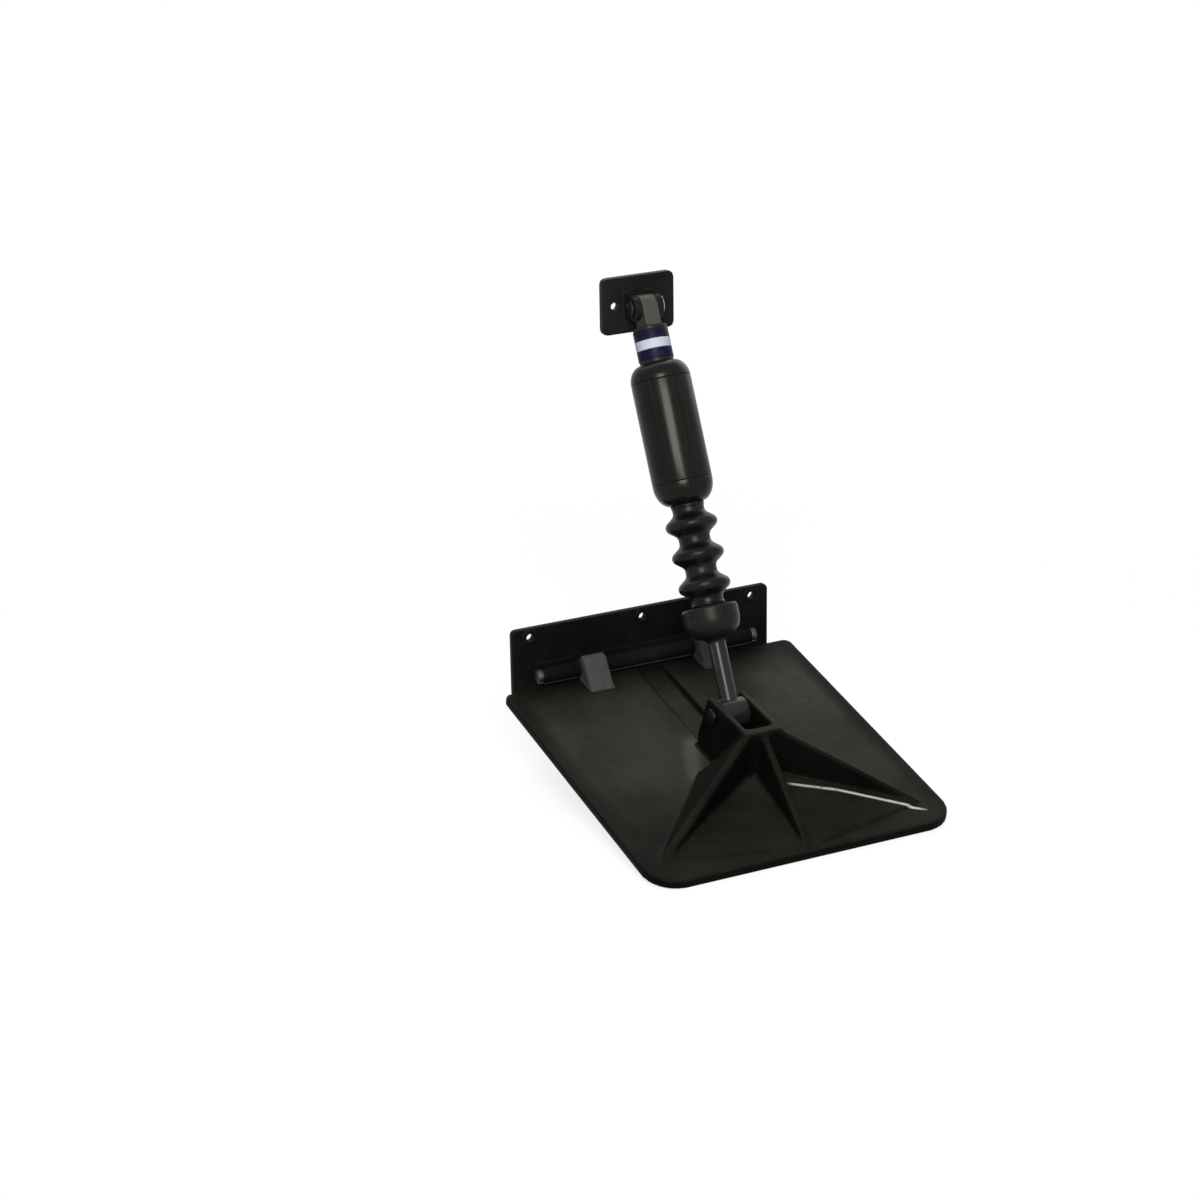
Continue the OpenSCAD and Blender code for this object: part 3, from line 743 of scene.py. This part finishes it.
# %% [markdown]
# Everything round on this strut is turned, and a turned piece is a half outline spun once round an
# axis. An outline is a list of radius and distance along the axis. Spinning it anew gives even rings of
# faces, so every ring edge can be rounded by a true bevel.

# %% Spinning an outline
SPIN_STEPS = 96
SHARP = math.radians(20)


def spin(mesh, outline, base, axis, side, closed=False, steps=SPIN_STEPS):
    """Spins an outline once round an axis through a base point."""
    corners = [mesh.verts.new(base + axis * along + side * radius) for radius, along in outline]
    lines = [mesh.edges.new(pair) for pair in zip(corners, corners[1:])]
    if closed:
        lines.append(mesh.edges.new((corners[-1], corners[0])))
    bmesh.ops.spin(
        mesh, geom=corners + lines, axis=axis, cent=base, angle=2 * math.pi, steps=steps, use_merge=True,
    )
    bmesh.ops.remove_doubles(mesh, verts=mesh.verts, dist=JOINED)


def round_rings(mesh, width, segments=3, chosen=None):
    """Bevels the edges whose two faces meet at a sharp angle, or only the chosen ones of these."""
    bmesh.ops.recalc_face_normals(mesh, faces=mesh.faces)
    sharp = [e for e in mesh.edges if e.is_manifold and e.calc_face_angle() > SHARP]
    sharp = [e for e in sharp if not chosen or chosen(e)]
    bmesh.ops.bevel(
        mesh, geom=sharp, offset=width, offset_type="OFFSET", segments=segments, profile=0.5,
        affect="EDGES", material=-1, clamp_overlap=True,
    )


def stand_in(mesh, node, material):
    """Makes a piece from a bmesh that stands for a solid."""
    data = bpy.data.meshes.new("dressed_" + node)
    mesh.to_mesh(data)
    mesh.free()
    return stand_for(data, node, material)


def turn_on_strut(node, outline, material, width, closed=False):
    mesh = bmesh.new()
    spin(mesh, outline, strut_top, -strut_up, ACROSS, closed)
    round_rings(mesh, width)
    return stand_in(mesh, node, material)


print("an outline is spun in", SPIN_STEPS, "steps")

# %% [markdown]
# The barrel is a sleeve with a rounded cap pressed into each end. The shoulders of the caps are quarter
# ellipses: the upper one runs from the neck out to the barrel, the lower one from the barrel in to the
# boot.

# %% Shoulders of the barrel
sleeve_from, sleeve_to = stretch("barrel_sleeve")
cap_from, plug_to = stretch("upper_cap")
plug_from, nose_to = stretch("lower_cap")
boot_from, boot_to = stretch("boot")
barrel_radius = girth("barrel_sleeve")
neck_radius = girth("upper_end_fitting")
BOOT_NECK = 11.5 * MM
ARC_STEPS = 16
ARC = [math.radians(90 * i / ARC_STEPS) for i in range(ARC_STEPS + 1)]


def shoulder(radius, along, widening, lengthening):
    """A quarter ellipse from its narrow end to its wide one, as radius and distance down the strut."""
    return [(radius + widening * math.sin(a), along + lengthening * math.cos(a)) for a in ARC]


upper_arc = shoulder(neck_radius, sleeve_from, barrel_radius - neck_radius, cap_from - sleeve_from)
lower_arc = shoulder(BOOT_NECK, sleeve_to, barrel_radius - BOOT_NECK, boot_from - sleeve_to)
lower_arc.reverse()
print("upper shoulder:", round((sleeve_from - cap_from) / MM, 1), "mm long")
print("lower shoulder:", round((boot_from - sleeve_to) / MM, 1), "mm long")

# %% [markdown]
# The sleeve's two end edges and the rims of the caps are broken, so a fine groove with a bright lip
# shows at each joint. Inside, each cap has a plug that fits the sleeve and a seat for the gas cylinder.
# The upper cap also has a hole for the stud of the end fitting, and the lower one a nose that holds the
# boot.

# %% Barrel and its caps
BORE_RADIUS = 19.5 * MM
NOSE_RADIUS = 10 * MM
ROD_HOLE = 5.3 * MM
CAP_EDGE = 0.6 * MM
SLEEVE_EDGE = 0.7 * MM
gas_radius = girth("gas_cylinder")
gas_from, gas_to = stretch("gas_cylinder")
stud_radius = neck_radius / 2
stud_to = stretch("upper_end_fitting")[1]

stud_hole = [(0, stud_to), (stud_radius, stud_to), (stud_radius, cap_from)]
upper_plug = [(BORE_RADIUS, sleeve_from), (BORE_RADIUS, plug_to)]
upper_seat = [(gas_radius, plug_to), (gas_radius, gas_from), (0, gas_from)]
turn_on_strut("upper_cap", [*stud_hole, *upper_arc, *upper_plug, *upper_seat], barrel_lacquer, CAP_EDGE)

sleeve_outer = [(barrel_radius, sleeve_from), (barrel_radius, sleeve_to)]
sleeve = [(BORE_RADIUS, sleeve_from), *sleeve_outer, (BORE_RADIUS, sleeve_to)]
turn_on_strut("barrel_sleeve", sleeve, barrel_lacquer, SLEEVE_EDGE, closed=True)

lower_seat = [(ROD_HOLE, gas_to), (gas_radius, gas_to), (gas_radius, plug_from)]
lower_plug = [(BORE_RADIUS, plug_from), (BORE_RADIUS, sleeve_to)]
nose = [(NOSE_RADIUS, boot_from), (NOSE_RADIUS, nose_to), (ROD_HOLE, nose_to)]
lower_cap = [*lower_seat, *lower_plug, *lower_arc, *nose]
turn_on_strut("lower_cap", lower_cap, barrel_lacquer, CAP_EDGE, closed=True)
print("sleeve:", round((sleeve_to - sleeve_from) / MM, 1), "mm long")

# %% [markdown]
# The pins are turned from bar: the pivot pins have a domed head at one end and a chamfered tip at the
# other, the hinge pin has two tips, and a cap is pushed on each of its ends. They lie across the boat,
# so their outlines are spun round the X axis. The two caps are one outline, spun once for each end.

# %% Pins and caps
HEAD_RADIUS, HEAD_LENGTH, DOME = 6 * MM, 2.5 * MM, 0.8 * MM
PIVOT_RADIUS = 4 * MM
PIN_RADIUS, PIN_TIP = 3 * MM, 0.6 * MM
CAP_RADIUS, CAP_LENGTH, CAP_DOME = 5.5 * MM, 5 * MM, 1.2 * MM


def crosswise(node):
    """A point on the axis of a solid that lies across the boat, and where it starts and ends there."""
    low, high = (Vector(corner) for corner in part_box(node))
    return Vector((0, (low.y + high.y) / 2, (low.z + high.z) / 2)), low.x, high.x


def turn_across(node, outline, base, directions, material, width, steps):
    mesh = bmesh.new()
    for direction in directions:
        spin(mesh, outline, base, direction, UP, steps=steps)
    round_rings(mesh, width)
    return stand_in(mesh, node, material)


def headed_pin(node):
    base, left, right = crosswise(node)
    head = [(0, left), (0.55 * HEAD_RADIUS, left + 0.1 * DOME), (HEAD_RADIUS, left + DOME)]
    neck = [(HEAD_RADIUS, left + HEAD_LENGTH), (PIVOT_RADIUS, left + HEAD_LENGTH)]
    tip = [(PIVOT_RADIUS, right - DOME), (PIVOT_RADIUS - DOME, right), (0, right)]
    return turn_across(node, [*head, *neck, *tip], base, [ACROSS], black_pin, width=0.35 * MM, steps=64)


def plain_pin(node):
    base, left, right = crosswise(node)
    start = [(0, left), (PIN_RADIUS - PIN_TIP, left), (PIN_RADIUS, left + PIN_TIP)]
    end = [(PIN_RADIUS, right - PIN_TIP), (PIN_RADIUS - PIN_TIP, right), (0, right)]
    return turn_across(node, [*start, *end], base, [ACROSS], stainless, width=0.2 * MM, steps=48)


def pin_caps(node):
    base, _, right = crosswise(node)
    rim, seat = right - CAP_LENGTH, right - CAP_LENGTH / 2
    dome = [(0, right), (0.6 * CAP_RADIUS, right - 0.1 * MM), (CAP_RADIUS, right - CAP_DOME)]
    hollow = [(CAP_RADIUS, rim), (PIN_RADIUS, rim), (PIN_RADIUS, seat), (0, seat)]
    ends = [ACROSS, -ACROSS]
    return turn_across(node, [*dome, *hollow], base, ends, dull_steel, width=0.4 * MM, steps=64)


for make, node in (
    (headed_pin, "upper_pivot_pin"),
    (headed_pin, "lower_pivot_pin"),
    (plain_pin, "hinge_pin"),
    (pin_caps, "hinge_pin_caps"),
):
    print(node, "turned:", len(make(node).data.polygons), "faces")

# %% [markdown]
# A spring clip is a flat ring with a mouth, pushed on the pin from below, so its mouth is on top. Here
# one small face, the clip's section, is spun through most of a turn: the face is carried along, so the
# ring comes out closed at both ends of its mouth.

# %% Spring clips
MOUTH = math.radians(58)
CLIP_IN, CLIP_OUT = 4 * MM, 7 * MM
CLIP_EDGE = 0.25 * MM


def spring_clip(node):
    base, left, right = crosswise(node)
    base.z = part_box(node)[0][2] + CLIP_OUT
    start = UP.copy()
    start.rotate(Matrix.Rotation(MOUTH / 2, 3, "X"))
    mesh = bmesh.new()
    section = [(CLIP_IN, left), (CLIP_OUT, left), (CLIP_OUT, right), (CLIP_IN, right)]
    corners = [mesh.verts.new(base + ACROSS * along + start * radius) for radius, along in section]
    face = mesh.faces.new(corners)
    bmesh.ops.spin(mesh, geom=[face], axis=ACROSS, cent=base, angle=2 * math.pi - MOUTH, steps=48)
    round_rings(mesh, CLIP_EDGE, segments=2)
    return stand_in(mesh, node, stainless)


for node in ("upper_pin_clip", "lower_pin_clip"):
    print(node, "bent:", len(spring_clip(node).data.polygons), "faces")

# %% [markdown]
# The band and the pieces inside the barrel keep their solids. A Weld modifier joins their loose
# triangles and a Bevel modifier breaks every edge that is sharper than a set angle.

# %% Band and inner pieces
CREASE = math.radians(35)


def break_edges(node, width, material):
    piece = nodes[node]
    weld = piece.modifiers.new("weld", "WELD")
    weld.merge_threshold = JOINED
    bevel = piece.modifiers.new("edges", "BEVEL")
    bevel.width = width
    bevel.segments = 2
    bevel.limit_method = "ANGLE"
    bevel.angle_limit = CREASE
    paint(piece, material)


INNER_EDGE = 0.3 * MM
break_edges("neck_band", 0.12 * MM, band_print)
break_edges("gas_cylinder", INNER_EDGE, cylinder_steel)
break_edges("cylinder_plug", INNER_EDGE, cylinder_steel)
break_edges("rod_guide", INNER_EDGE, guide_brass)
break_edges("rod_seal", INNER_EDGE, seal_rubber)
break_edges("piston_rod", 0.5 * MM, rod_chrome)
break_edges("piston", INNER_EDGE, piston_alloy)
break_edges("piston_ring", INNER_EDGE, seal_rubber)
print("edges of the inner pieces broken by", INNER_EDGE / MM, "mm")

# %% [markdown]
# The boot is the one soft piece. Its outline has a small bead on each cuff and three ribs with sloping
# flanks. Bevels on the ring edges round them: full on the rims, hollow at the roots and fine on the
# beads, so the three groups are picked by their distance from the axis. The wall gets its thickness
# last. The boot is squeezed as the rod slides in, and the share of its length it keeps is worked out.

# %% Ribbed boot
rib_radius = girth("boot")
RIM = 4.5 * MM
ROOT = 16.0 * MM
CUFF = 4.0 * MM
BEAD = 0.7 * MM
FOOT = 0.2 * MM
INSET = 0.1 * MM
RIBS = 3
WALL = 1.4 * MM
RIM_RINGS = (15 * MM, 20 * MM)
ROOT_RINGS = (11 * MM, 11.6 * MM)
BEAD_RINGS = (11.6 * MM, 15 * MM)
SOFT, FINE = 2.1 * MM, 0.25 * MM


def boot_outline():
    """Radius and distance down the strut of each corner of the boot's outer side."""
    yield BOOT_NECK + BEAD, boot_from + INSET
    yield BOOT_NECK + BEAD, boot_from + 0.55 * CUFF
    yield BOOT_NECK + FOOT, boot_from + 0.7 * CUFF
    run = (boot_to - boot_from - 2 * CUFF) / RIBS
    for rib in range(RIBS):
        centre = boot_from + CUFF + run * (rib + 0.5)
        yield BOOT_NECK, centre - ROOT / 2
        yield rib_radius, centre - RIM / 2
        yield rib_radius, centre + RIM / 2
        yield BOOT_NECK, centre + ROOT / 2
    yield BOOT_NECK + FOOT, boot_to - 0.7 * CUFF
    yield BOOT_NECK + BEAD, boot_to - 0.55 * CUFF
    yield BOOT_NECK + BEAD, boot_to - INSET


def between(low, high):
    """A test for edges that lie between two distances from the strut's axis."""
    return lambda edge: all(low < off_axis(v.co) < high for v in edge.verts)


boot_mesh = bmesh.new()
spin(boot_mesh, boot_outline(), strut_top, -strut_up, ACROSS)
for rings, width in ((RIM_RINGS, SOFT), (ROOT_RINGS, SOFT), (BEAD_RINGS, FINE)):
    round_rings(boot_mesh, width, 5, between(*rings))
bmesh.ops.solidify(boot_mesh, geom=boot_mesh.faces[:], thickness=WALL)
soft_boot = stand_in(boot_mesh, "boot", boot_rubber)
travel = joints["rod_slide"]["range_m"][1]
squeezed = (boot_to - boot_from - travel) / (boot_to - boot_from)
fixed_end = tuple(down_strut(boot_from))
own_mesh(soft_boot)
print("boot:", len(soft_boot.data.polygons), "faces, squeezed to", round(squeezed, 2), "of its length")

# %% [markdown]
# The studio is a pale floor under the plate and a white surround. Both are white where the camera sees
# them, straight, in a mirror or through glass, and much darker as a source of light, so that black
# plastic keeps its depth. The floor's own shading stays in by a share near the part, which keeps the
# shadow.

# %% Floor
FLOOR_SIZE = 12
FLOOR_GAP = 0.2 * MM
WHITE_RAYS = ("Is Camera Ray", "Is Glossy Ray", "Is Transmission Ray")
PAPER_SEEN, PAPER_UNSEEN = (0.93, 0.93, 0.93), (0.15, 0.15, 0.15)
GLOW_NEAR = 0.82
GLOW_REACH = (0.3, 0.7)


def sees_white(graph):
    """1 for a ray that shows the background: straight from the camera, in a mirror or through glass."""
    first, second, third = [graph.node("ShaderNodeLightPath", output=ray) for ray in WHITE_RAYS]
    return first.larger(second.larger(third))


def floor_paper():
    paper = Finish("floor_paper")
    seen = sees_white(paper)
    paper.set({"Base Color": paper.blend(seen, PAPER_UNSEEN, PAPER_SEEN), "Roughness": 0.9})
    paper.set({"Specular IOR Level": 0.0})
    reach = paper.node("ShaderNodeVectorMath", {"operation": "LENGTH"}, {0: paper.place}, "Value")
    white_share = GLOW_NEAR + (1 - GLOW_NEAR) * paper.step(reach, *GLOW_REACH)
    glow = paper.node("ShaderNodeEmission", None, {"Color": (1, 1, 1, 1), "Strength": 1.0})
    lit = Value(paper, paper.shader.outputs[0])
    shown = paper.node("ShaderNodeMixShader", None, {0: seen * white_share, 1: lit, 2: glow})
    paper.feed(paper.tree.nodes["Material Output"].inputs["Surface"], shown)
    return paper.material


floor_mesh = bmesh.new()
bmesh.ops.create_grid(floor_mesh, x_segments=1, y_segments=1, size=FLOOR_SIZE / 2)
bmesh.ops.translate(floor_mesh, verts=floor_mesh.verts, vec=(0, 0, cad_low.z - FLOOR_GAP))
floor_data = bpy.data.meshes.new("floor")
floor_mesh.to_mesh(floor_data)
floor_mesh.free()
floor = bpy.data.objects.new("floor", floor_data)
bpy.context.scene.collection.objects.link(floor)
paint(floor, floor_paper())
print("floor lies at", round((cad_low.z - FLOOR_GAP) / MM, 1), "mm")

# %% [markdown]
# The surround gives a little light from all sides, as the walls of a room do, and the camera sees it as
# pure white. One strength does both: it is small, and full for the rays that show the background.

# %% Surround
AMBIENT = 0.09
world = bpy.data.worlds.new("surround")
world.use_nodes = True
bpy.context.scene.world = world
surround = Graph(world.node_tree)
background = surround.tree.nodes["Background"]
background.inputs["Color"].default_value = (1, 1, 1, 1)
surround.feed(background.inputs["Strength"], AMBIENT + (1 - AMBIENT) * sees_white(surround))
print("surround lights with a strength of", AMBIENT)

# %% [markdown]
# Three lamps light the part at a plain level. A wide lamp, high up behind the part, lights the faces that
# look up. An upright one stands in front on the left, where the barrel mirrors it to the camera as one
# long highlight. A weak one on the right fills the shadows.

# %% Lamps


def lamp(name, place, aim, size, power):
    data = bpy.data.lights.new(name, "AREA")
    data.shape = "RECTANGLE"
    data.size, data.size_y = size
    data.energy = power
    light = bpy.data.objects.new(name, data)
    light.location = place
    light.rotation_mode = "QUATERNION"
    light.rotation_quaternion = (Vector(aim) - Vector(place)).to_track_quat("-Z", "Y")
    bpy.context.scene.collection.objects.link(light)


lamp("back_top", place=(0.15, 1.15, 1.6), aim=(0, -0.1, 0), size=(2.0, 1.7), power=27)
lamp("front_strip", place=(-0.60, -1.28, 0.98), aim=(0, -0.06, 0.15), size=(0.72, 0.95), power=37)
lamp("side_fill", place=(1.5, 0.7, 0.8), aim=(0, -0.1, 0.1), size=(1.2, 1.2), power=5)
print("lamps:", [light.name for light in bpy.data.lights])

# %% [markdown]
